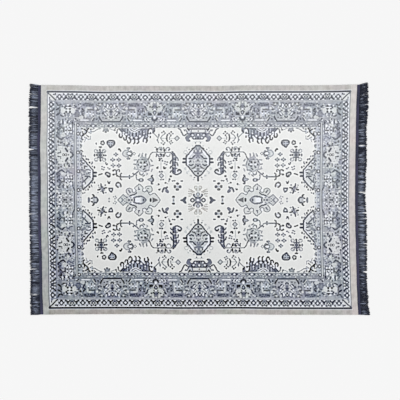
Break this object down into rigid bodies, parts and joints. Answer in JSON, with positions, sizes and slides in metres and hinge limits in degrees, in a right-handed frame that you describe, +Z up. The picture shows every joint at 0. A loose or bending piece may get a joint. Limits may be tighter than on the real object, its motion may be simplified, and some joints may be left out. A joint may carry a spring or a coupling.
{
  "type": "persian rug",
  "caption": "Flat rectangular woven rug with a traditional Persian border and field design and a cut fringe along both short ends.",
  "frame": {"origin": "middle of the rug's box, on the floor it lies on", "axes": "+X along the rug's length to the right-hand fringe, +Y across it to the far side edge, +Z up out of the face"},
  "size_m": [2.3202, 1.5828, 0.004],
  "materials": {
    "rug_cloth": "matt woven chenille in ivory, greige, grey-blue and navy",
    "fringe_yarn": "matt twisted navy yarn"
  },
  "bodies": {
    "root": {"rug_body": "rug_cloth", "fringe_left": "fringe_yarn", "fringe_right": "fringe_yarn"}
  },
  "joints": []
}
